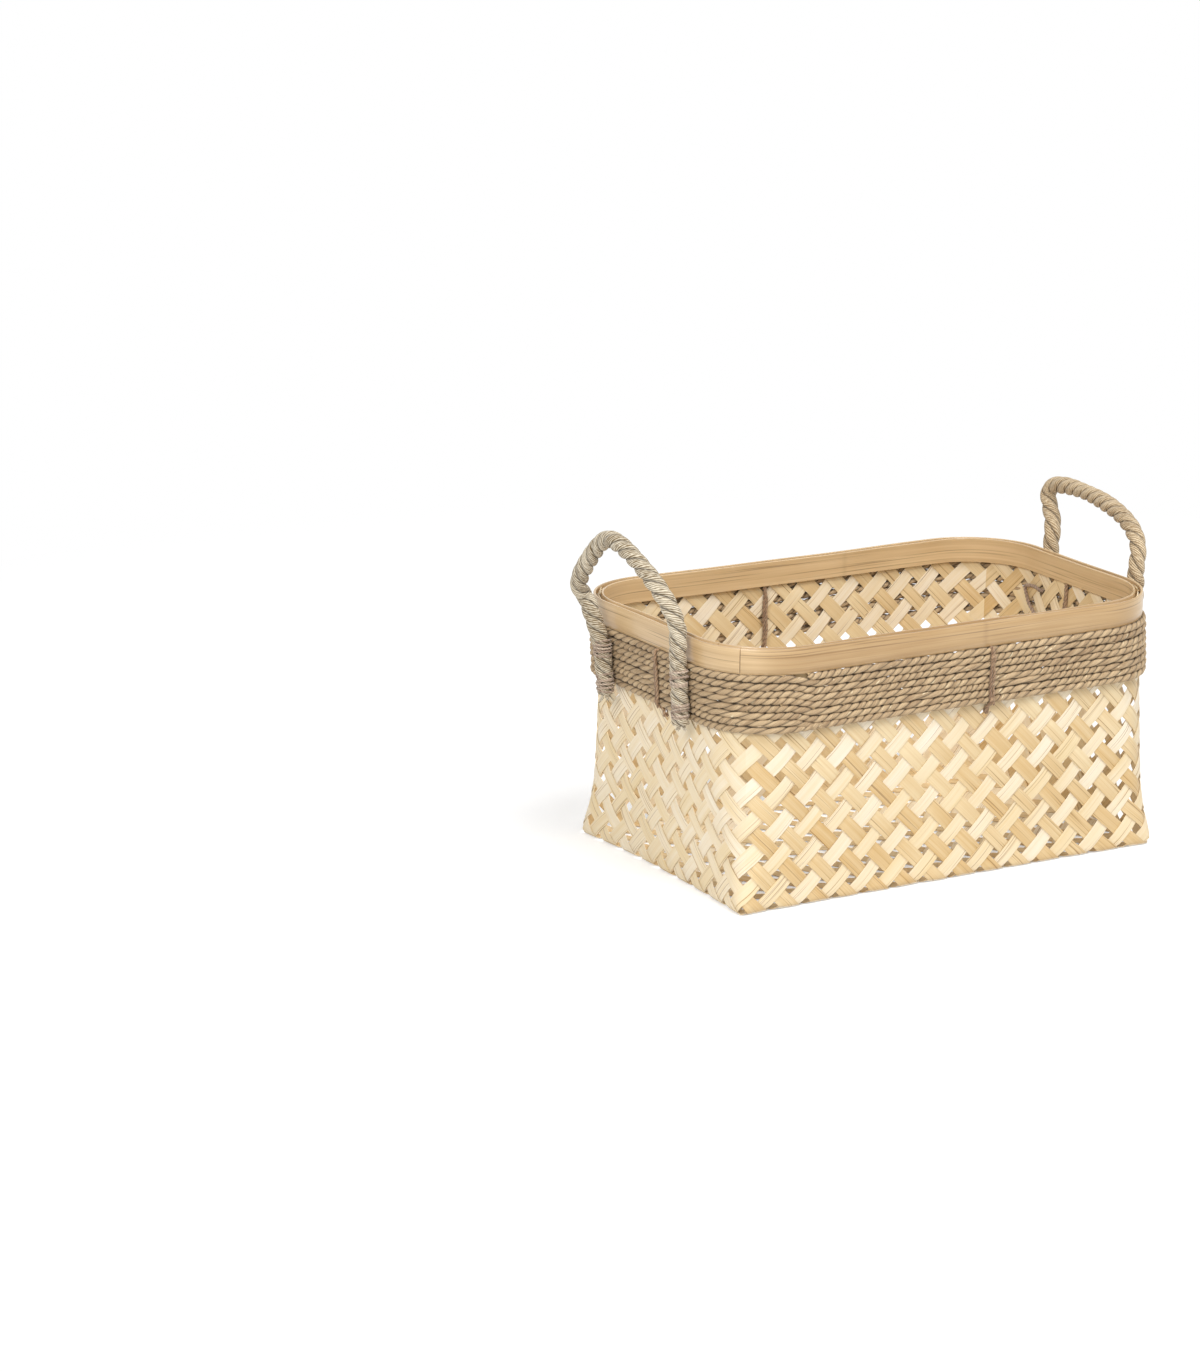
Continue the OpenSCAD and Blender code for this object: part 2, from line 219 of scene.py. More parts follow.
def plait_frame(exit_name, col, row):
    """Point in the middle of the plait and the direction that points out of the basket there."""
    step = 0.02
    surface = EXITS[exit_name]
    middle = surface(col, row)
    by_col = surface(col + step, row) - surface(col - step, row)
    by_row = surface(col, row + step) - surface(col, row - step)
    outward = -unit(np.cross(by_col, by_row))
    sway = wander(middle, 90 * MM, 11)[..., None] * 0.7 * MM
    height = middle[..., 2:3]
    outward_sway = outward * sway * smooth(height / (25 * MM)) * (1 - smooth((height - HOOP_FOOT) / (10 * MM) + 1))
    edge = smooth(1 - height / (9 * MM)) * smooth(height / (1.5 * MM))
    ripple = wander(middle, 40 * MM, 12)[..., None] * 0.6 * MM * edge
    return middle + outward_sway + outward * ripple, outward


def near_corner(x, y, corner, reach):
    """1 at a corner, falling off smoothly over the reach."""
    return np.exp(-(((x - corner[0]) / reach) ** 2 + ((y - corner[1]) / reach) ** 2))


def settled(points):
    """Where points of the true basket lie on the finished one, whose corners stand out a little."""
    x, y, z = points.T
    flare = near_corner(np.abs(x), np.abs(y), BASE_HALF, FLARE_REACH) * (1 - smooth(z / FLARE_REACH))
    push = PUSH_LOW + PUSH_MORE_AT_RIM * smooth((z - 110 * MM) / (60 * MM))
    push = push * near_corner(x, y, RIM_HALF * (-1, 1), PUSH_REACH)
    moved = points.copy()
    for axis, side in enumerate((np.sign(x), np.sign(y))):
        moved[:, axis] += side * flare * FLARE[axis] + PUSH_WAY[axis] * push
    return moved


# --- Meshes
def new_object(name, data):
    made = bpy.data.objects.new(name, data)
    bpy.context.scene.collection.objects.link(made)
    return made


class Build:
    """Points, faces and per-point values of one piece, gathered part by part."""

    def __init__(self):
        self.points, self.faces, self.values = [], [], {}
        self.count = 0

    def add(self, points, faces, **values):
        points = np.asarray(points, float).reshape(-1, 3)
        self.points.append(points)
        self.faces.append(np.asarray(faces) + self.count)
        for name, value in values.items():
            value = np.asarray(value, float)
            wide = 3 if name == "grain" else 1
            self.values.setdefault(name, []).append(np.broadcast_to(value.reshape(-1, wide), (len(points), wide)))
        self.count += len(points)

    def piece(self, name, material, slot, nodes, body="basket", sharp=50):
        mesh = bpy.data.meshes.new(name)
        quads = np.concatenate(self.faces)
        mesh.from_pydata(settled(np.concatenate(self.points)).tolist(), [], quads.tolist())
        for value_name, parts in self.values.items():
            data = np.concatenate(parts)
            kind = "FLOAT_VECTOR" if data.shape[1] == 3 else "FLOAT"
            layer = mesh.attributes.new(value_name, kind, "POINT")
            layer.data.foreach_set("vector" if data.shape[1] == 3 else "value", data.ravel().astype(np.float32))
        mesh.validate()
        mesh.shade_smooth()
        mesh.set_sharp_from_angle(angle=radians(sharp))
        mesh.materials.append(material)
        piece = new_object(name, mesh)
        if body:
            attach(piece, body)
        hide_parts(*nodes)
        return piece


def skin_faces(rings, sides):
    """Four-cornered faces that join rings of sides points each into one closed sleeve."""
    ring, side = np.meshgrid(np.arange(rings - 1), np.arange(sides), indexing="ij")
    a = ring * sides + side
    b = ring * sides + (side + 1) % sides
    return np.stack([a, b, b + sides, a + sides], -1).reshape(-1, 4)


def strip_caps(rings, across):
    """Faces that close both ends of a strip, whose rings hold its outer and then its inner side."""
    faces = []
    for start, flip in ((0, True), ((rings - 1) * 2 * across, False)):
        for j in range(across - 1):
            quad = [start + j, start + j + 1, start + 2 * across - 2 - j, start + 2 * across - 1 - j]
            faces.append(quad[::-1] if flip else quad)
    return np.array(faces)


# --- The plait
def line_at(family, lane, line, aside=0.0):
    """Where along a strip it meets a line of the lattice, given as (kind, value), aside of its middle."""
    kind, value = line
    if kind == "col":
        return value - aside
    return (lane - value if family == "pale" else lane + value) + aside


def strip_chunk(build, wall, exit_name, family, lane, start, end, look):
    """One run of a strip between two lines of the lattice, in the piece of the wall that it lies on."""
    half = look["half"]
    v = np.linspace(-half, half, 41)
    length = line_at(family, lane, end, v) - line_at(family, lane, start, v)
    kept = v[length > 0.02]
    if len(kept) < 3 or length.max() < 0.2:
        return
    v = np.linspace(kept[0], kept[-1], ACROSS)
    low, high = line_at(family, lane, start, v), line_at(family, lane, end, v)
    high = np.maximum(high, low + 0.01)
    rings = max(2, int(np.ceil((high - low).max() * RINGS_PER_STEP)))
    w = low + (high - low) * np.linspace(0, 1, rings + 1)[:, None]
    lateral = v * (1 + 0.03 * along_wander(w, 5, look["seed"] + 1))
    lateral = lateral + look["aside"] + 0.015 * along_wander(w, 14, look["seed"])
    if family == "pale":
        col, row = w + lateral, lane - w + lateral
    else:
        col, row = w + lateral, w - lane - lateral
    middle, outward = plait_frame(exit_name, col, row)
    wave = np.cos(pi * w) * (1 if family == "pale" else -1)
    bow = np.sign(wave) * np.abs(wave) ** 0.4
    lift = BASE_LIFT
    if exit_name != "base":
        lift = BASE_LIFT + (WALL_LIFT - BASE_LIFT) * smooth(middle[..., 2] / (10 * MM))
    cup = look["cup"] * (1 - (v / half) ** 2) * np.abs(wave)
    offset = lift * bow + cup * np.sign(bow)
    outer = middle + outward * (offset + STRIP_THICK / 2)[..., None]
    inner = middle + outward * (offset - STRIP_THICK / 2)[..., None]
    points = np.concatenate([outer, inner[:, ::-1]], 1)
    points[..., 2] = np.maximum(points[..., 2], 0.02 * MM)
    grain = np.stack([w * STEP, v * STEP + 0 * w, look["seed"] % 97 + 0 * w], -1)
    grain = np.concatenate([grain, grain[:, ::-1]], 1)
    faces = np.concatenate([skin_faces(rings + 1, 2 * ACROSS), strip_caps(rings + 1, ACROSS)])
    # Painted light and shade: each wall's strips are toned deeper or paler for the light that falls on that wall, and
    # towards the foot there is painted shade on the front and painted light on the back
    toned = look["tone"] + WALL_SHADE_TONES[wall]
    if wall in FOOT_LIGHT_AND_SHADE:
        deeper, foot, top = FOOT_LIGHT_AND_SHADE[wall]
        toned = toned + deeper * (1 - smooth((middle[..., 2] - foot) / (top - foot)))
    tone = np.clip(toned + 0.15 * along_wander(w, 4, look["seed"] + 2), 0, 1)
    build.add(points, faces, grain=grain, tone=np.concatenate([tone, tone[:, ::-1]], 1))


def strip_runs(family, lane):
    """The runs of one strip: (base or wall, first line, last line), the base's first."""
    top = TOP_LEVEL
    left, right = ("left", ("col", -top), ("col", 0)), ("right", ("col", LONG), ("col", LONG + top))
    if family == "pale":
        first = left if lane < SHORT else ("back", ("row", SHORT + top), ("row", SHORT))
        last = ("front", ("row", 0), ("row", -top)) if lane < LONG else right
    else:
        first = left if lane < 0 else ("front", ("row", -top), ("row", 0))
        last = right if lane > LONG - SHORT else ("back", ("row", SHORT), ("row", SHORT + top))
    return [("base", first[2], last[1]), first, last]


# Which line of the lattice is the upright corner that a strip meets on its way to the rim, the wall
# that it goes on to, and the end of its run that lies there, for each family and wall
PAST_CORNER = {
    ("pale", "front"): (("col", LONG), "right", "end"),
    ("pale", "right"): (("row", 0), "front", "end"),
    ("pale", "left"): (("row", SHORT), "back", "start"),
    ("pale", "back"): (("col", 0), "left", "start"),
    ("tan", "right"): (("row", SHORT), "back", "end"),
    ("tan", "back"): (("col", LONG), "right", "end"),
    ("tan", "left"): (("row", 0), "front", "start"),
    ("tan", "front"): (("col", 0), "left", "start"),
}
STRIP_NODES = {
    ("pale", "base"): "base_falling", ("tan", "base"): "base_rising",
    ("pale", "front"): "front_rising", ("tan", "front"): "front_falling",
    ("pale", "back"): "back_rising", ("tan", "back"): "back_falling",
    ("pale", "left"): "left_falling", ("tan", "left"): "left_rising",
    ("pale", "right"): "right_falling", ("tan", "right"): "right_rising",
}
# Painted sheen: the walls on which each family is given the pale bamboo; and, as painted light and shade, how much
# deeper each wall's strips are toned
PAINTED_SHEEN_WALLS = {("pale", "front"), ("tan", "back"), ("tan", "base"), ("pale", "left"), ("tan", "left"), ("tan", "right")}
WALL_SHADE_TONES = {"front": 0.05, "left": 0.3, "back": -0.08, "right": 0.1, "base": -0.1}
# Painted shade low on the front and painted light low on the back: how much deeper or paler a wall's strips get
# towards its foot, and the heights between which they change
FOOT_LIGHT_AND_SHADE = {"front": (0.4, 20 * MM, 110 * MM), "back": (-0.45, 105 * MM, 135 * MM)}


def lay_strip(builds, family, lane, look):
    """Lays all runs of one strip, each cut at an upright corner that it meets below the rim.

    Past the corner it lies in the next wall's piece of the other family, whose strips run the same way.
    """
    other = "tan" if family == "pale" else "pale"
    for exit_name, first, last in strip_runs(family, lane):
        runs = [(family, exit_name, first, last)]
        if exit_name != "base":
            line, next_wall, side = PAST_CORNER[family, exit_name]
            corner = line_at(family, lane, line)
            if side == "end" and corner < line_at(family, lane, last):
                runs = [(family, exit_name, first, line), (other, next_wall, line, last)]
            elif side == "start" and corner > line_at(family, lane, first):
                runs = [(family, exit_name, line, last), (other, next_wall, first, line)]
        for key, wall, start, end in runs:
            strip_chunk(builds[key, wall], wall, exit_name, family, lane, start, end, look)


def plait(materials):
    """All strips of both families, kept apart by the wall or base that they lie on."""
    random = np.random.default_rng(5)
    builds = {key: Build() for key in STRIP_NODES}
    lanes = {"pale": range(1, LONG + SHORT, 2), "tan": range(1 - SHORT, LONG, 2)}
    for family, family_lanes in lanes.items():
        for lane in family_lanes:
            lay_strip(builds, family, lane, {
                "half": (STRIP_WIDTHS[family] + np.clip(random.normal(), -2, 2) * WIDTH_SPREAD) / 2 / STEP,
                "aside": np.clip(random.normal(), -2, 2) * ASIDE_SPREAD / STEP,
                "cup": random.uniform(0.0, 0.06) * MM,
                "seed": int(random.integers(1, 90000)),
                "tone": (lane * 0.309 + 0.2) % 1 - 0.1,
            })
    for key, build in builds.items():
        node = STRIP_NODES[key]
        # Painted sheen: the pale bamboo goes where the strips' fibres would catch the lamps, the tan bamboo elsewhere
        face = materials["pale" if key in PAINTED_SHEEN_WALLS else "tan"]
        build.piece(node + "_plait", face, key[0] + "_bamboo", [node + "_strips"])


# --- Cords
def carried_frames(path):
    """Two directions square to a path at each point, carried along it without a twist of their own."""
    heading = unit(np.gradient(path, axis=0))
    side = np.empty_like(path)
    across = (0.0, 0.0, 1.0) if abs(heading[0, 2]) < 0.9 else (1.0, 0.0, 0.0)
    current = np.cross(heading[0], across)
    for i, ahead in enumerate(heading):
        current = current - ahead * (current @ ahead)
        current = current / np.linalg.norm(current)
        side[i] = current
    return side, np.cross(heading, side)


def even_path(points, spacing):
    """The same path with points at an even spacing."""
    points = np.asarray(points, float)
    lengths = np.concatenate([[0], np.cumsum(np.linalg.norm(np.diff(points, axis=0), axis=1))])
    count = max(4, int(round(lengths[-1] / spacing)) + 1)
    wanted = np.linspace(0, lengths[-1], count)
    return np.stack([np.interp(wanted, lengths, points[:, k]) for k in range(3)], -1)


def laid_cord(build, path, radius, plies, lay, seed, *, sides, taper, tone=0.5, frames=None, depth=0.35,
              uneven=0.0, pinch=None, course_shade=0.0):
    """A cord of twisted plies along a path, its ends rounded over the taper.

    depth is the share of the radius by which the plies stand out, a lay below 0 twists the other way, uneven
    lets the twist wander, pinch is the share of the radius that is left at each point of the path, and pressed
    is how strong the painted shade is where the cord lies against the courses above and below. The creases between
    plies get painted shade too.
    """
    side, up = frames or carried_frames(path)
    steps = np.linalg.norm(np.diff(path, axis=0), axis=1)
    lengths = np.concatenate([[0], np.cumsum(steps)])
    count = plies * sides
    around = np.arange(count) * 2 * pi / count
    from_ply = (around + pi / plies) % (2 * pi / plies) - pi / plies
    from_middle = np.abs(from_ply) / (pi / plies)
    profile = 1 - depth * from_middle**2.5
    # Painted shade in the creases between plies
    crease_shade = from_middle**2
    rate = (1 + uneven * along_wander(lengths, 7 * lay, seed)) / lay
    turn = 2 * pi * np.concatenate([[0], np.cumsum(steps * rate[1:])])
    size = radius * (1 + 0.05 * along_wander(lengths, 2.3 * lay, seed + 1))
    if pinch is not None:
        size = size * pinch
    ends = np.minimum(lengths, lengths[-1] - lengths) / taper
    size = size * np.sqrt(np.clip(ends, 0.02, 1))
    angle = around + turn[:, None]
    spoke = np.cos(angle)[..., None] * side[:, None] + np.sin(angle)[..., None] * up[:, None]
    points = path[:, None] + spoke * (profile * size[:, None])[..., None]
    ply = np.floor((around + pi / plies) / (2 * pi / plies)) % plies
    grain = np.stack(
        [lengths[:, None] + 0 * angle, around * radius + 0 * angle, seed % 89 + ply * 3.7 + 0 * angle], -1
    )
    points = points.reshape(-1, 3)
    first, last = len(points), len(points) + 1
    points = np.concatenate([points, path[:1], path[-1:]])
    k = np.arange(0, count, 2)
    start = np.stack([np.full_like(k, first), (k + 2) % count, k + 1, k], -1)
    end = np.stack([np.full_like(k, last), k, k + 1, (k + 2) % count], -1)
    end[:, 1:] += (len(path) - 1) * count
    faces = [skin_faces(len(path), count), start, end]
    pad = np.zeros((2, 3))
    # Painted shade: dark in the creases between plies and where the cord lies against the courses above and below
    build.add(
        points, np.concatenate(faces),
        grain=np.concatenate([grain.reshape(-1, 3), pad]),
        mark=np.concatenate([np.maximum(crease_shade, course_shade * np.sin(angle) ** 4).ravel(), [0.5, 0.5]]),
        tone=tone,
    )


def frayed_end(build, tip, heading, spread, length, strands, seed):
    """Loose strands that splay from the cut end of a cord or rope."""
    random = np.random.default_rng(seed)
    heading = unit(np.asarray(heading, float))
    side = unit(np.cross(heading, (0.3, 0.5, 0.81)))
    up = np.cross(heading, side)
    for k in range(strands):
        angle = 2 * pi * (k + random.uniform(0, 0.7)) / strands
        fan = np.cos(angle) * side + np.sin(angle) * up
        reach = length * random.uniform(0.55, 1.0)
        share = np.linspace(0, 1, 7)[:, None]
        root = tip + fan * spread * random.uniform(0.2, 0.75) - heading * 2 * MM
        bend = fan * spread * random.uniform(0.1, 0.8) * share**2
        curl = np.cross(heading, fan) * 0.6 * MM * np.sin(share * 5 + angle)
        laid_cord(build, root + heading * reach * share + bend + curl, random.uniform(0.45, 0.75) * MM, 2, 5 * MM,
                  seed + k, tone=random.uniform(0, 0.5), taper=3 * MM, sides=3)


def band_path(spacing):
    """The cord's route: level laps under the hoop, each stepping down to the next where the first begins."""
    count = int(CORD_LAPS * 1.045 / spacing)
    turn = np.linspace(-0.008, CORD_LAPS, count)
    ring = CORD_BEGINS + turn * RING
    lap = np.maximum(np.floor(turn), 0)
    stepped = lap + smooth((turn - lap - 1 + CORD_STEP) / CORD_STEP)
    stepped = np.minimum(stepped, CORD_LAPS - 1)
    z = HOOP_FOOT - CORD_RADIUS - 0.1 * MM - CORD_PITCH * stepped
    z = z + 0.3 * MM * wander(np.stack([turn * 9, np.sin(turn * 2 * pi) * 2], -1), 1.7, 31)
    out = CORD_OUT + 0.25 * MM * along_wander(turn * 1.045, 60 * MM, 32)
    path = wall_point(ring, z, out)
    outward = unit(wall_point(ring, z, out + MM) - path)
    heading = unit(np.gradient(path, axis=0))
    outward = unit(outward - heading * np.sum(outward * heading, -1, keepdims=True))
    return path, (outward, np.cross(heading, outward))


def wind_band(material):
    path, frames = band_path(1.2 * MM)
    build = Build()
    laid_cord(build, path, CORD_RADIUS * 1.06, 2, CORD_LAY, 41, frames=frames, taper=3 * MM, sides=8,
              depth=0.36, uneven=0.5, course_shade=1.0)
    frayed_end(build, path[-1], path[-1] - path[-4], 3.2 * MM, 10 * MM, 7, 43)
    return build.piece("wound_band", material, "band_cord", ["cord_band"], sharp=75)


# --- Hoops
def hoop_path(half, radius, seam_angle, gap, spacing):
    """Points and outward directions round a rounded rectangle, from one end of the hoop to the other."""
    centres, angles = [], []
    quarter = np.linspace(0, pi / 2, max(8, int(radius * pi / 2 / spacing)))
    for k, (sx, sy) in enumerate(((1, 1), (-1, 1), (-1, -1), (1, -1))):
        middle = np.array([sx * (half[0] - radius), sy * (half[1] - radius)])
        centres += [middle] * len(quarter)
        angles += list(quarter + k * pi / 2)
    centres, angles = np.array(centres), np.array(angles)
    outward = np.stack([np.cos(angles), np.sin(angles)], -1)
    loop = centres + outward * radius
    first = int(np.argmin(np.abs(angles - seam_angle)))
    order = np.roll(np.arange(len(loop)), -first)
    loop = np.concatenate([loop[order], loop[order[:1]]])
    outward = np.concatenate([outward[order], outward[order[:1]]])
    lengths = np.concatenate([[0], np.cumsum(np.linalg.norm(np.diff(loop, axis=0), axis=1))])
    wanted = np.linspace(gap / 2, lengths[-1] - gap / 2, int(lengths[-1] / spacing))

    def at(values):
        return np.stack([np.interp(wanted, lengths, values[:, k]) for k in range(2)], -1)

    return at(loop), unit(at(outward)), wanted


def bend_hoop(name, node, material, half, radius, thick, seam_angle, joints, seed):
    """A flat bamboo hoop with rounded edges, a slight crown and raised joints of the cane."""
    loop, outward, lengths = hoop_path(half, radius, seam_angle, 0.5 * MM, 3 * MM)
    soft = 0.35 * MM
    height = RIM_TOP - HOOP_FOOT
    outline = [(-thick + soft, 0), (-soft, 0), (0, soft * 1.4), (0.12 * MM, height * 0.3), (0.16 * MM, height * 0.5)]
    outline += [(0.12 * MM, height * 0.7), (0, height - soft * 1.6), (-soft, height), (-thick + soft, height)]
    outline += [(-thick, height - soft), (-thick, height * 0.5), (-thick, soft)]
    outline = np.array(outline)
    ridge = np.zeros_like(lengths)
    for joint in joints:
        ridge = np.maximum(ridge, np.exp(-(((lengths - joint) / (1.6 * MM)) ** 2)))
    swell = np.where(outline[:, 0] > -thick / 2, 1.0, 0.0)
    out = outline[:, 0] - 0.12 * MM + swell * ridge[:, None] * 0.18 * MM
    up = outline[:, 1] + 0.25 * MM * along_wander(lengths, 130 * MM, seed)[:, None] * (outline[:, 1] > height / 2)
    up = up - 0.25 * MM * (outline[:, 1] > height / 2)
    points = np.concatenate(
        [loop[:, None] + outward[:, None] * out[..., None], (HOOP_FOOT + up)[..., None]], -1
    )
    girth = np.concatenate([[0], np.cumsum(np.linalg.norm(np.diff(outline, axis=0), axis=1))])
    grain = np.stack([lengths[:, None] + 0 * out, girth + 0 * out, seed + 0 * out], -1)
    front = smooth((-outward[:, 1] - 0.75) / 0.25)
    build = Build()
    sides = len(outline)
    fan = np.array([[0, 1, 2, 11], [2, 3, 10, 11], [3, 4, 5, 10], [5, 6, 9, 10], [6, 7, 8, 9]])
    caps = np.concatenate([fan, fan[:, ::-1] + (len(loop) - 1) * sides])
    sleeve = skin_faces(len(loop), sides)[:, ::-1]
    build.add(
        points, np.concatenate([sleeve, caps]), grain=grain,
        mark=np.repeat(ridge, sides), tone=np.repeat(front, sides),
    )
    return build.piece(name, material, "hoop_bamboo", [node], sharp=40)


# --- Handles, ties and lashings
def loop_route(side, lean, rise_to, belly, slip, bow):
    """A handle's free loop from its front foot to its back foot, standing over the rim."""
    t = np.linspace(0, 1, 70)
    along = -np.cos(pi * t) * LEG_HALF - belly * np.sin(2 * pi * t) * np.sin(pi * t) + slip * np.sin(pi * t) ** 2
    up = rise_to * np.sin(pi * t)
    out = bow * np.sqrt(np.sin(pi * t)) * np.maximum(-np.cos(pi * t), 0) ** 3
    x = side * (LEG_REACH + up * np.sin(lean) + out * np.cos(lean))
    return np.stack([x, along, PIVOT_HEIGHT + up * np.cos(lean) - out * np.sin(lean)], -1)


def leg_along(side, end):
    """Where along the side wall a leg of a handle is lashed."""
    return end * LEG_HALF - (4 * MM if (side, end) == (-1, 1) else 0)


def rope_route(side, loop, feet):
    """The rope of one handle from the end of its front leg, over its loop, to that of its back leg."""
    legs = []
    for end, foot in ((-1, feet[0]), (1, feet[1])):
        height = np.linspace(foot, PIVOT_HEIGHT - 7 * MM, 14)
        wall = half_side(0, height) + CORD_OUT + CORD_RADIUS + ROPE_RADIUS + 0.3 * MM
        x = wall + (LEG_REACH - wall) * smooth((height - HOOP_FOOT + 12 * MM) / (22 * MM))
        legs.append(np.stack([side * x, leg_along(side, end) + 0 * height, height], -1))
    route = np.concatenate([legs[0], loop, legs[1][::-1]])
    even = even_path(route, 0.9 * MM)
    for _ in range(20):
        even[1:-1] = (even[:-2] + 2 * even[1:-1] + even[2:]) / 4
    if side < 0:
        slack = np.exp(-(((even[:, 2] - PIVOT_HEIGHT) / (22 * MM)) ** 2)) * smooth(even[:, 1] / (30 * MM))
        even = even + slack[:, None] * np.array([-6, 6, 0]) * MM
    return even


def lashing_heights(side, end):
    """Middle heights of the upper and the lower winding on one leg."""
    raised = {(-1, -1): (4, 4), (-1, 1): (1, -1), (1, -1): (2, 1), (1, 1): (2, 2)}[side, end]
    return [WALL_FOOT + level * LEVEL + lift * MM for level, lift in zip(LASHING_LEVELS, raised)]


def handle(name, side, loop, feet, seed, material):
    """One handle's rope with its frayed ends."""
    build = Build()
    route = rope_route(side, loop_route(side, **loop), feet)
    pinch = np.ones(len(route))
    for end in (-1, 1):
        for height in lashing_heights(side, end):
            near = (route[:, 2] - height) / (5 * MM)
            pinch = pinch - 0.12 * np.exp(-(near**2)) * (route[:, 1] * end > 0)
    laid_cord(build, route, ROPE_RADIUS, 3, ROPE_LAY, seed, sides=12, taper=2 * MM, depth=0.24, uneven=0.2,
              pinch=pinch)
    frayed_end(build, route[0], route[0] - route[3], 5 * MM, 7 * MM, 12, seed + 1)
    frayed_end(build, route[-1], route[-1] - route[-4], 5 * MM, 7 * MM, 12, seed + 2)
    body = "left_handle" if side < 0 else "right_handle"
    nodes = [body + part for part in ("_loop", "_front_leg", "_back_leg")]
    rope = build.piece(name, material, "handle_rope", nodes, body=None, sharp=80)
    end = (side * LEG_REACH, 0, PIVOT_HEIGHT + 12 * MM)
    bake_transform(rope)
    return rope


def twine(build, points, seed, radius=TWINE_RADIUS, tone=0.5):
    """Twine along a smooth path near a few guide points."""
    path = even_path(points, 0.7 * MM)
    for _ in range(12):
        path[1:-1] = (path[:-2] + 2 * path[1:-1] + path[2:]) / 4
    laid_cord(build, path, radius, 2, TWINE_LAY, seed, tone=tone, taper=1.2 * MM, sides=4)


def tie(name, node, ring, seed, material):
    """Two strands of twine round the cord band, with a small knot at the head and at the foot."""
    build = Build()
    top, foot = HOOP_FOOT - 0.6 * MM, WALL_FOOT + 10 * LEVEL
    outer = CORD_OUT + CORD_RADIUS + TWINE_RADIUS * 0.8
    inner = -STRIP_THICK - WALL_LIFT - TWINE_RADIUS
    soft = 1.6 * MM
    corners = ((outer - soft, top - soft, 90), (inner + soft, top - soft, 180),
               (inner + soft, foot + soft, 270), (outer - soft, foot + soft, 360))
    outline = [(inner, (top + foot) / 2)]
    for index in (2, 3, 0, 1):
        o, z, last = corners[index]
        for a in np.radians(np.linspace(last - 90, last, 6)):
            outline.append((o + soft * np.cos(a), z + soft * np.sin(a)))
    outline.append((inner, (top + foot) / 2 - 2 * MM))
    under_band = HOOP_FOOT - CORD_LAPS * CORD_PITCH + 1 * MM
    outline = even_path(np.array([(o, z, 0) for o, z in outline]), 0.7 * MM)
    slanted = np.maximum(1.7 * MM, outer - 1.2 * np.maximum(under_band - outline[:, 1], 0))
    outline[:, 0] = np.minimum(outline[:, 0], slanted)
    for strand, share in ((0, -1), (1, 1)):
        run = np.arange(len(outline)) * 0.7 * MM
        sway = share * 1.1 * MM * np.cos(run / (17 * MM)) + 0.4 * MM * along_wander(run, 20 * MM, seed + strand)
        path = wall_point(ring + sway / STEP * 1.4, outline[:, 1], outline[:, 0])
        laid_cord(build, path, TWINE_RADIUS * 1.3, 2, TIE_LAY, seed + strand, tone=0.4 + 0.3 * strand,
                  taper=1.2 * MM, sides=4)
    right = unit(wall_point(ring + 0.5, foot, outer) - wall_point(ring - 0.5, foot, outer))
    out = unit(wall_point(ring, foot, outer + MM) - wall_point(ring, foot, outer))
    for knot_height in (under_band + 2 * MM, top - 6 * MM):
        knot = wall_point(ring, knot_height, outer + 0.5 * MM)
        lump = []
        for a in np.linspace(0, 4 * pi, 22):
            spread = 1.5 * MM * (1 + 0.25 * np.sin(2 * a))
            lump.append(knot + right * np.cos(a) * spread + np.array([0, 0, 1]) * np.sin(1.5 * a) * 1.3 * MM
                        + out * (0.3 * MM + 0.7 * MM * np.sin(a * 2)))
        tail = knot - np.array([0, 0, 4.5 * MM]) + right * 1.5 * MM
        twine(build, [*lump, tail], seed + 5)
    return build.piece(name, material, "twine", [node], sharp=80)


def lashing(name, node, side, end, seed, material):
    """Turns of twine that hold a leg of the rope to the band at two heights, and their stitch inside."""
    build = Build()
    random = np.random.default_rng(seed)
    along = leg_along(side, end)
    ring_per_metre = SHORT / (2 * half_side(1, 0.14) - corner_radius(0.14) * (2 - pi / 2))
    middle = CORNER_AT[1] + SHORT / 2 if side > 0 else CORNER_AT[3] + SHORT / 2
    ring = middle + side * along * ring_per_metre
    for z in lashing_heights(side, end):
        band_face = half_side(0, z) + CORD_OUT + CORD_RADIUS
        rope_at = band_face + ROPE_RADIUS + 0.3 * MM
        for turn in range(8):
            height = z + (turn - 3.5) * 1.45 * MM + random.normal() * 0.25 * MM
            tilt = random.normal() * 1.4 * MM
            swell = ROPE_RADIUS * 0.93 + random.uniform(0, 0.7) * MM - 0.25 * MM * abs(turn - 3.5) / 3.5
            points = []
            for a in np.linspace(-0.5 * pi, 1.5 * pi, 25)[2:-2]:
                x = max(rope_at + swell * np.sin(a), band_face)
                points.append((side * x, along + swell * np.cos(a), height + tilt * np.cos(a)))
            twine(build, points, seed + 7 * turn, radius=TWINE_RADIUS * 0.85, tone=random.uniform(0.1, 0.9))
    inner = -STRIP_THICK - WALL_LIFT - TWINE_RADIUS
    high, low = (WALL_FOOT + level * LEVEL for level in LASHING_LEVELS)
    stitch = [wall_point(ring + d, z, o) for d, z, o in (
        (-1, high, 1.2 * MM), (-1, high, inner), (0, high + 2 * MM, inner), (1, high, inner),
        (0.4, (high + low) / 2, inner), (-1, low, inner), (0, low - 1 * MM, inner), (1, low, inner),
        (1, low, 1.2 * MM))]
    twine(build, stitch, seed + 90, radius=TWINE_RADIUS * 1.5, tone=1.0)
    return build.piece(name, material, "twine", [node], sharp=80)


# --- Finishes
def cleared_tree(owner):
    """The node tree of a new material or world, with nothing in it."""
    owner.use_nodes = True
    owner.node_tree.nodes.clear()
    return owner.node_tree


def place(tree, kind, inputs=None, **settings):
    """Adds a node with its settings. An input that is another node's socket is linked."""
    made = tree.nodes.new(kind)
    for key, value in settings.items():
        setattr(made, key, value)
    for key, value in (inputs or {}).items():
        if isinstance(value, bpy.types.NodeSocket):
            tree.links.new(value, made.inputs[key])
        else:
            made.inputs[key].default_value = value
    return made


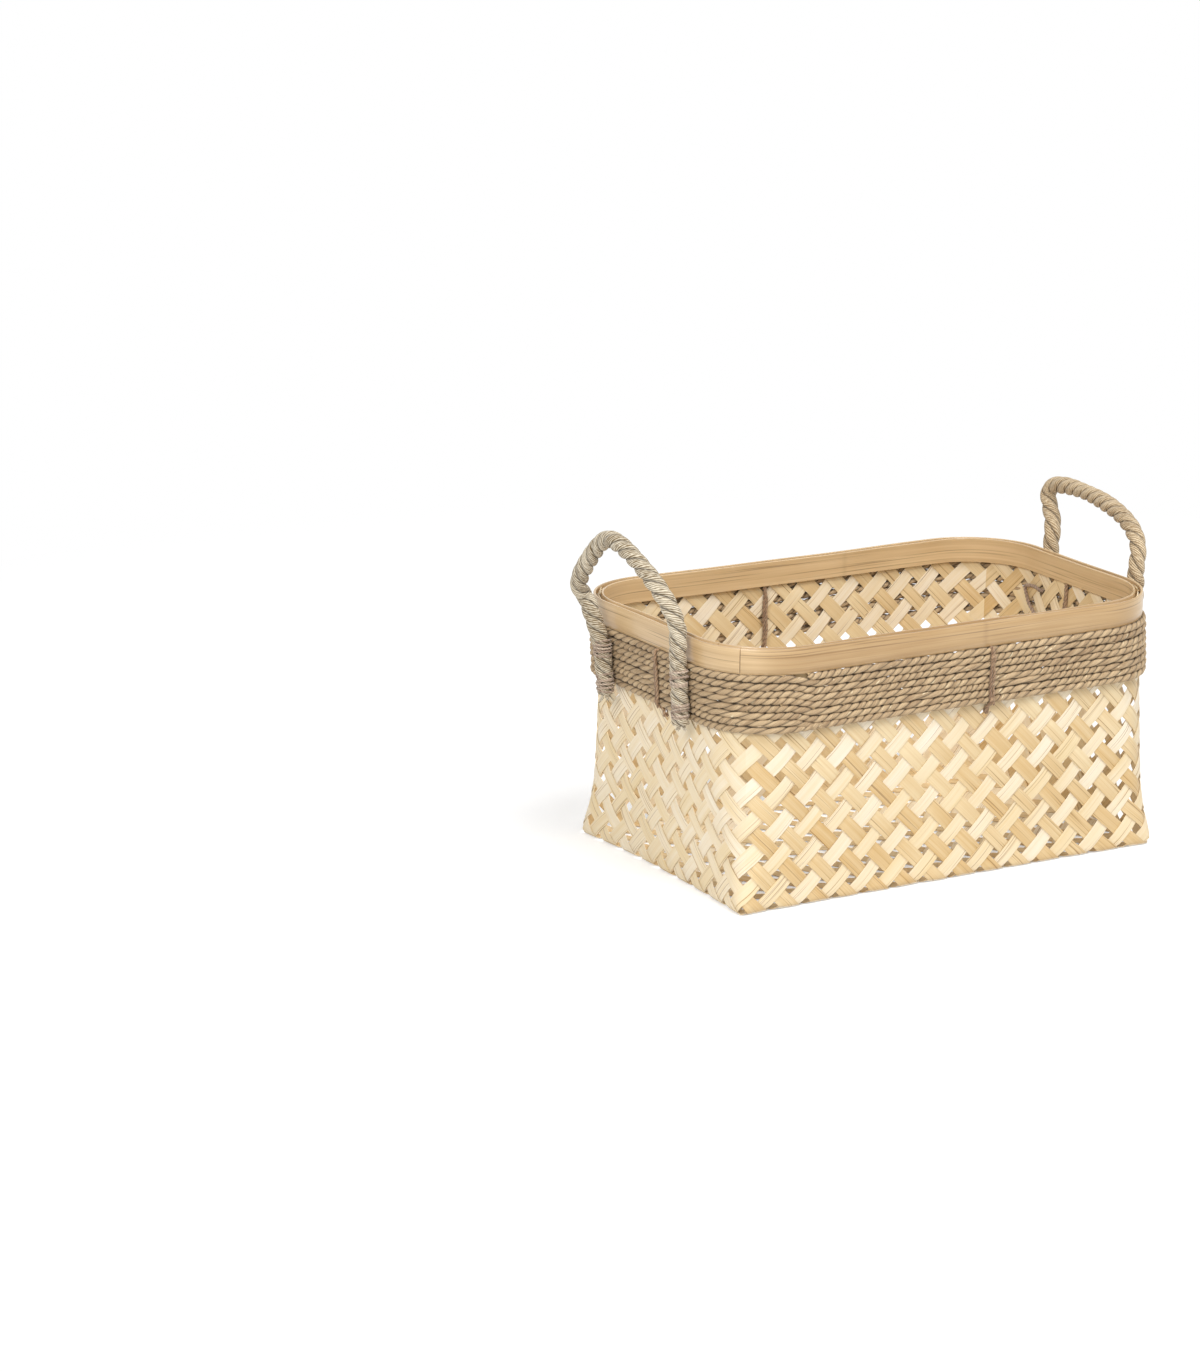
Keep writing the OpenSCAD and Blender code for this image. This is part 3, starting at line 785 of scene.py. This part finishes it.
def math(tree, operation, a, b=0.0, clamp=False):
    return place(tree, "ShaderNodeMath", {0: a, 1: b}, operation=operation, use_clamp=clamp).outputs[0]


def mix_colour(tree, share, a, b):
    return place(tree, "ShaderNodeMix", {0: share, 6: a, 7: b}, data_type="RGBA").outputs[2]


def ramp(tree, value, low, high):
    made = place(tree, "ShaderNodeMapRange", {0: value, 1: low, 2: high, 3: 0.0, 4: 1.0}, clamp=True)
    return made.outputs[0]


def stretched_noise(tree, vector, scale, detail=3.0, roughness=0.55):
    """Noise over a vector whose three parts are scaled each by its own number."""
    scaled = place(tree, "ShaderNodeVectorMath", {0: vector, 1: scale}, operation="MULTIPLY")
    made = place(
        tree, "ShaderNodeTexNoise",
        {"Vector": scaled.outputs[0], "Scale": 1.0, "Detail": detail, "Roughness": roughness},
    )
    return made.outputs["Fac"]


COLOUR, NUMBER, VECTOR = "NodeSocketColor", "NodeSocketFloat", "NodeSocketVector"


def new_group(name, inputs):
    """An effect group with the sockets that all have, and its own inputs: {name: (kind, default)}."""
    group = bpy.data.node_groups.new(name, "ShaderNodeTree")
    shared = {
        "Grain": (VECTOR, (0, 0, 0)), "Tone": (NUMBER, 0.5), "Joints_And_Shade": (NUMBER, 0.0),
        "Pale": (COLOUR, (1, 1, 1, 1)), "Deep": (COLOUR, (0.5, 0.5, 0.5, 1)),
    }
    for socket, (kind, default) in {**shared, **inputs}.items():
        group.interface.new_socket(socket, in_out="INPUT", socket_type=kind).default_value = default
    for socket, kind in {"Color": COLOUR, "Roughness": NUMBER, "Height": NUMBER}.items():
        group.interface.new_socket(socket, in_out="OUTPUT", socket_type=kind)
    return group, group.nodes.new("NodeGroupInput").outputs, group.nodes.new("NodeGroupOutput").inputs


def bamboo_grain_group():
    """Split bamboo: fine lengthwise fibres, broader bands, dark threads and mottling."""
    own = {"Thread": (COLOUR, (0.3, 0.2, 0.1, 1)), "Threads": (NUMBER, 0.5), "Polish": (NUMBER, 0.0)}
    group, given, out = new_group("bamboo_grain", own)
    fibre = stretched_noise(group, given["Grain"], (14.0, 1700.0, 3.1), 2.0)
    bands = stretched_noise(group, given["Grain"], (7.0, 330.0, 5.3), 3.0)
    patches = stretched_noise(group, given["Grain"], (16.0, 20.0, 7.7), 2.0)
    thread = ramp(group, stretched_noise(group, given["Grain"], (9.0, 900.0, 9.1), 1.0), 0.62, 0.72)
    depth = math(group, "ADD", math(group, "MULTIPLY", fibre, 0.35), math(group, "MULTIPLY", bands, 0.65))
    depth = ramp(group, depth, 0.34, 0.68)
    toned = math(group, "ADD", math(group, "MULTIPLY", depth, 0.5), math(group, "MULTIPLY", given["Tone"], 0.5))
    toned = math(group, "ADD", toned, math(group, "MULTIPLY", math(group, "SUBTRACT", patches, 0.5), 0.5), clamp=True)
    colour = mix_colour(group, toned, given["Pale"], given["Deep"])
    threads = math(group, "MULTIPLY", thread, given["Threads"], clamp=True)
    colour = mix_colour(group, threads, colour, given["Thread"])
    colour = mix_colour(group, math(group, "MULTIPLY", given["Joints_And_Shade"], 0.14), colour, given["Thread"])
    group.links.new(colour, out["Color"])
    rough = math(group, "ADD", math(group, "MULTIPLY", fibre, 0.25), 0.4)
    group.links.new(math(group, "SUBTRACT", rough, given["Polish"], clamp=True), out["Roughness"])
    group.links.new(math(group, "SUBTRACT", fibre, math(group, "MULTIPLY", thread, 0.4)), out["Height"])
    return group


def fibre_lay_group():
    """Twisted plant fibre: strands within a ply, painted shade in the creases between plies and pale stray flecks."""
    group, given, out = new_group("fibre_lay", {
        "Crease_Shade": (COLOUR, (0.1, 0.1, 0.1, 1)), "Fleck": (COLOUR, (1, 1, 1, 1)), "Flecks": (NUMBER, 0.5),
        "Yarns": (NUMBER, 0.0),
    })
    strand = stretched_noise(group, given["Grain"], (160.0, 1600.0, 4.3), 3.0, 0.65)
    run = place(group, "ShaderNodeVectorMath", {0: given["Grain"], 1: (1700.0, 2100.0, 0.0)}, operation="DOT_PRODUCT")
    bent = stretched_noise(group, given["Grain"], (120.0, 300.0, 8.9), 2.0)
    wave = math(group, "SINE", math(group, "ADD", run.outputs["Value"], math(group, "MULTIPLY", bent, 9.0)))
    yarn = math(group, "MULTIPLY", math(group, "MULTIPLY", wave, 0.5), given["Yarns"])
    patches = stretched_noise(group, given["Grain"], (22.0, 90.0, 6.1), 3.0)
    fleck = ramp(group, stretched_noise(group, given["Grain"], (150.0, 420.0, 11.3), 1.0), 0.70, 0.76)
    depth = math(group, "ADD", math(group, "MULTIPLY", strand, 0.5), math(group, "MULTIPLY", patches, 0.5))
    depth = math(group, "ADD", ramp(group, depth, 0.35, 0.66), math(group, "SUBTRACT", given["Tone"], 0.5))
    depth = math(group, "SUBTRACT", depth, math(group, "MULTIPLY", yarn, 1.1), clamp=True)
    colour = mix_colour(group, depth, given["Pale"], given["Deep"])
    colour = mix_colour(group, math(group, "MULTIPLY", fleck, given["Flecks"], clamp=True), colour, given["Fleck"])
    # Painted shade in the creases between plies and between the courses of the band
    crease_shade = math(group, "POWER", given["Joints_And_Shade"], 3.5)
    colour = mix_colour(group, math(group, "MULTIPLY", crease_shade, 0.85), colour, given["Crease_Shade"])
    group.links.new(colour, out["Color"])
    group.links.new(math(group, "ADD", math(group, "MULTIPLY", strand, 0.2), 0.7), out["Roughness"])
    group.links.new(math(group, "ADD", strand, yarn), out["Height"])
    return group


def finish_material(name, group, colours, numbers, bump, sheen, coat):
    """A material whose colour, roughness and relief come from one of the effect groups."""
    material = bpy.data.materials.new(name)
    tree = cleared_tree(material)
    effect = place(tree, "ShaderNodeGroup", node_tree=group)
    for carried, given, socket in (("grain", "Vector", "Grain"), ("tone", "Fac", "Tone"), ("mark", "Fac", "Joints_And_Shade")):
        value = place(tree, "ShaderNodeAttribute", attribute_name=carried, attribute_type="GEOMETRY")
        tree.links.new(value.outputs[given], effect.inputs[socket])
    for socket, colour in colours.items():
        effect.inputs[socket].default_value = (*srgb(colour), 1)
    for socket, value in numbers.items():
        effect.inputs[socket].default_value = value
    relief = place(tree, "ShaderNodeBump", {"Height": effect.outputs["Height"], "Strength": 0.6, "Distance": bump})
    shader = place(tree, "ShaderNodeBsdfPrincipled", {
        "Base Color": effect.outputs["Color"], "Roughness": effect.outputs["Roughness"],
        "Normal": relief.outputs["Normal"],
    })
    shader.inputs["Sheen Weight"].default_value = sheen
    shader.inputs["Coat Weight"].default_value = coat
    output = place(tree, "ShaderNodeOutputMaterial")
    tree.links.new(shader.outputs[0], output.inputs[0])
    return material


def srgb(code):
    """Linear colour from a web code."""
    parts = np.array([int(code[k : k + 2], 16) for k in (0, 2, 4)]) / 255
    return tuple(np.where(parts <= 0.04045, parts / 12.92, ((parts + 0.055) / 1.055) ** 2.4))


def make_finishes():
    """All materials by their short names: effect, colours, numbers, relief in mm, sheen and coat."""
    grain = (bamboo_grain_group(), ("Pale", "Deep", "Thread"))
    lay = (fibre_lay_group(), ("Pale", "Deep", "Crease_Shade", "Fleck"))
    yarns = {"Yarns": 1.0}
    rows = {
        # Painted sheen: pale_bamboo is the tan bamboo as it looks where its fibres catch the lamps
        "pale": ("pale_bamboo", grain, "f5ead6 e5cc9b a0783f", {"Threads": 0.7}, 0.08, 0.0, 0.06),
        "tan": ("tan_bamboo", grain, "ead6ae cca76c 8c6433", {"Threads": 0.7}, 0.08, 0.0, 0.06),
        "hoop": ("hoop_bamboo", grain, "dabc90 ad895a 6a4c2a", {"Threads": 0.5, "Polish": 0.2}, 0.06, 0.0, 0.25),
        # The third colour of each fibre finish is the painted shade in its creases
        "cord": ("band_cord", lay, "d2b891 8f7354 2a1d10 f0e2bd", {"Flecks": 0.75}, 0.25, 0.1, 0.0),
        "left_rope": (
            "left_handle_rope", lay, "e6dac2 7a6441 2a1f13 f6f0e2", {"Flecks": 0.6, **yarns}, 0.5, 0.15, 0.0),
        "right_rope": (
            "right_handle_rope", lay, "dfcaa8 957a56 402e1a f3e8d2", {"Flecks": 0.5, **yarns}, 0.5, 0.15, 0.0),
        "twine": ("tie_twine", lay, "bf9f7d 876850 3d2b1c d8c3a2", {"Flecks": 0.5}, 0.2, 0.2, 0.0),
        "lashing": ("lashing_twine", lay, "dac5af 9c826e 54432f ece2d6", {"Flecks": 0.5}, 0.2, 0.3, 0.0),
    }
    return {
        key: finish_material(name, group, dict(zip(sockets, codes.split())), numbers, bump * MM, sheen, coat)
        for key, (name, (group, sockets), codes, numbers, bump, sheen, coat) in rows.items()
    }


# --- Stage
LAMPS_AIM = Vector((0, 0, 0.1))


def white_stage():
    """A pale floor that keeps the shadow and a white backdrop."""
    size = 6.0
    mesh = bpy.data.meshes.new("floor")
    mesh.from_pydata([(-size, -size, 0), (size, -size, 0), (size, size, 0), (-size, size, 0)], [], [(0, 1, 2, 3)])
    floor = new_object("floor", mesh)
    floor.location.z = -0.0002
    material = bpy.data.materials.new("floor_paper")
    tree = cleared_tree(material)
    paper = place(tree, "ShaderNodeBsdfDiffuse", {"Color": (0.8, 0.8, 0.8, 1)})
    glow = place(tree, "ShaderNodeEmission", {"Color": (1, 1, 1, 1), "Strength": 0.35})
    white = place(tree, "ShaderNodeEmission", {"Color": (1, 1, 1, 1), "Strength": 1.0})
    where = place(tree, "ShaderNodeNewGeometry")
    distance = place(tree, "ShaderNodeVectorMath", {0: where.outputs["Position"]}, operation="LENGTH")
    far = ramp(tree, distance.outputs["Value"], 0.45, 1.1)
    path = place(tree, "ShaderNodeLightPath")
    seen = math(tree, "MAXIMUM", path.outputs["Is Camera Ray"], path.outputs["Is Glossy Ray"])
    both = place(tree, "ShaderNodeAddShader", {0: paper.outputs[0], 1: glow.outputs[0]})
    shown = place(tree, "ShaderNodeMixShader", {0: far, 1: both.outputs[0], 2: white.outputs[0]})
    mixed = place(tree, "ShaderNodeMixShader", {0: seen, 1: paper.outputs[0], 2: shown.outputs[0]})
    output = place(tree, "ShaderNodeOutputMaterial")
    tree.links.new(mixed.outputs[0], output.inputs[0])
    mesh.materials.append(material)

    world = bpy.data.worlds.new("studio")
    bpy.context.scene.world = world
    tree = cleared_tree(world)
    path = place(tree, "ShaderNodeLightPath")
    seen = math(tree, "MAXIMUM", path.outputs["Is Camera Ray"], path.outputs["Is Glossy Ray"])
    seen = math(tree, "MAXIMUM", seen, path.outputs["Is Transmission Ray"])
    strength = math(tree, "ADD", math(tree, "MULTIPLY", seen, 0.55), 0.45)
    backdrop = place(tree, "ShaderNodeBackground", {"Color": (1, 1, 1, 1), "Strength": strength})
    output = place(tree, "ShaderNodeOutputWorld")
    tree.links.new(backdrop.outputs[0], output.inputs[0])


def area_lamp(name, place_at, size, power):
    light = bpy.data.lights.new(name, "AREA")
    light.shape, light.size, light.energy = "DISK", size, power
    lamp = new_object(name, light)
    lamp.location = place_at
    lamp.rotation_mode = "QUATERNION"
    lamp.rotation_quaternion = (LAMPS_AIM - Vector(place_at)).to_track_quat("-Z", "Y")


def camera():
    data = bpy.data.cameras.new("camera")
    data.sensor_width = 36
    data.lens = 105.0
    data.clip_end = 50
    made = new_object("camera", data)
    bpy.context.scene.camera = made
    yaw, pitch, roll = radians(29.19), radians(15.47), radians(0.26)
    offset = Vector((0.19221, -0.10773, 2.86593))
    turn = Matrix.Rotation(yaw, 3, "Z")
    forward = Vector((0, np.cos(pitch), -np.sin(pitch)))
    upward = Vector((0, np.sin(pitch), np.cos(pitch)))
    right = Vector((1, 0, 0))
    eye = -(right * offset.x + upward * offset.y + forward * offset.z)
    axes = Matrix((right, upward, -forward)).transposed() @ Matrix.Rotation(roll, 3, "Z")
    made.matrix_world = (turn.transposed() @ axes).to_4x4()
    made.location = turn.transposed() @ eye


bpy.context.scene.view_settings.view_transform = "Standard"
white_stage()
area_lamp("key_light", (-2.6, -1.7, 2.0), 1.5, 56)
area_lamp("front_light", (-0.5, -3.0, 1.2), 1.2, 3)
area_lamp("fill_light", (2.4, -1.4, 1.6), 2.0, 7)
area_lamp("top_light", (0.2, -1.3, 2.5), 1.5, 43)
camera()

finishes = make_finishes()
plait(finishes)
wind_band(finishes["cord"])
outer_half, inner_half = (hoop_high.x, hoop_high.y), (inner_high.x, inner_high.y)
inner_corner = HOOP_CORNER - (hoop_high.x - inner_high.x)
bend_hoop("outer_rim", "outer_hoop", finishes["hoop"], outer_half, HOOP_CORNER, HOOP_THICK, radians(222),
          (0.19, 0.47, 0.79), 3)
bend_hoop("inner_rim", "inner_hoop", finishes["hoop"], inner_half, inner_corner, INNER_THICK, radians(200),
          (0.31, 0.66), 5)
left_loop = {"lean": radians(15), "rise_to": 51 * MM, "belly": -8 * MM, "slip": 13 * MM, "bow": 12 * MM}
right_loop = {"lean": radians(17), "rise_to": 39 * MM, "belly": 18 * MM, "slip": 40 * MM, "bow": 0}
handle("left_rope", -1, left_loop, (121.5 * MM, 118.5 * MM), 51, finishes["left_rope"])
handle("right_rope", 1, right_loop, (120 * MM, 120 * MM), 57, finishes["right_rope"])
for name, ring, seed in (("front", 16, 61), ("right", CORNER_AT[1] + 10, 62), ("back", CORNER_AT[2] + 16, 63),
                         ("left", CORNER_AT[3] + 10, 64)):
    tie(name + "_tie_twine", name + "_tie", ring, seed, finishes["twine"])
for side, side_name in ((-1, "left"), (1, "right")):
    for end, end_name in ((-1, "front"), (1, "back")):
        name = side_name + "_" + end_name
        lashing(name + "_lashing_twine", name + "_lashing", side, end, 71 + 3 * side + end, finishes["lashing"])
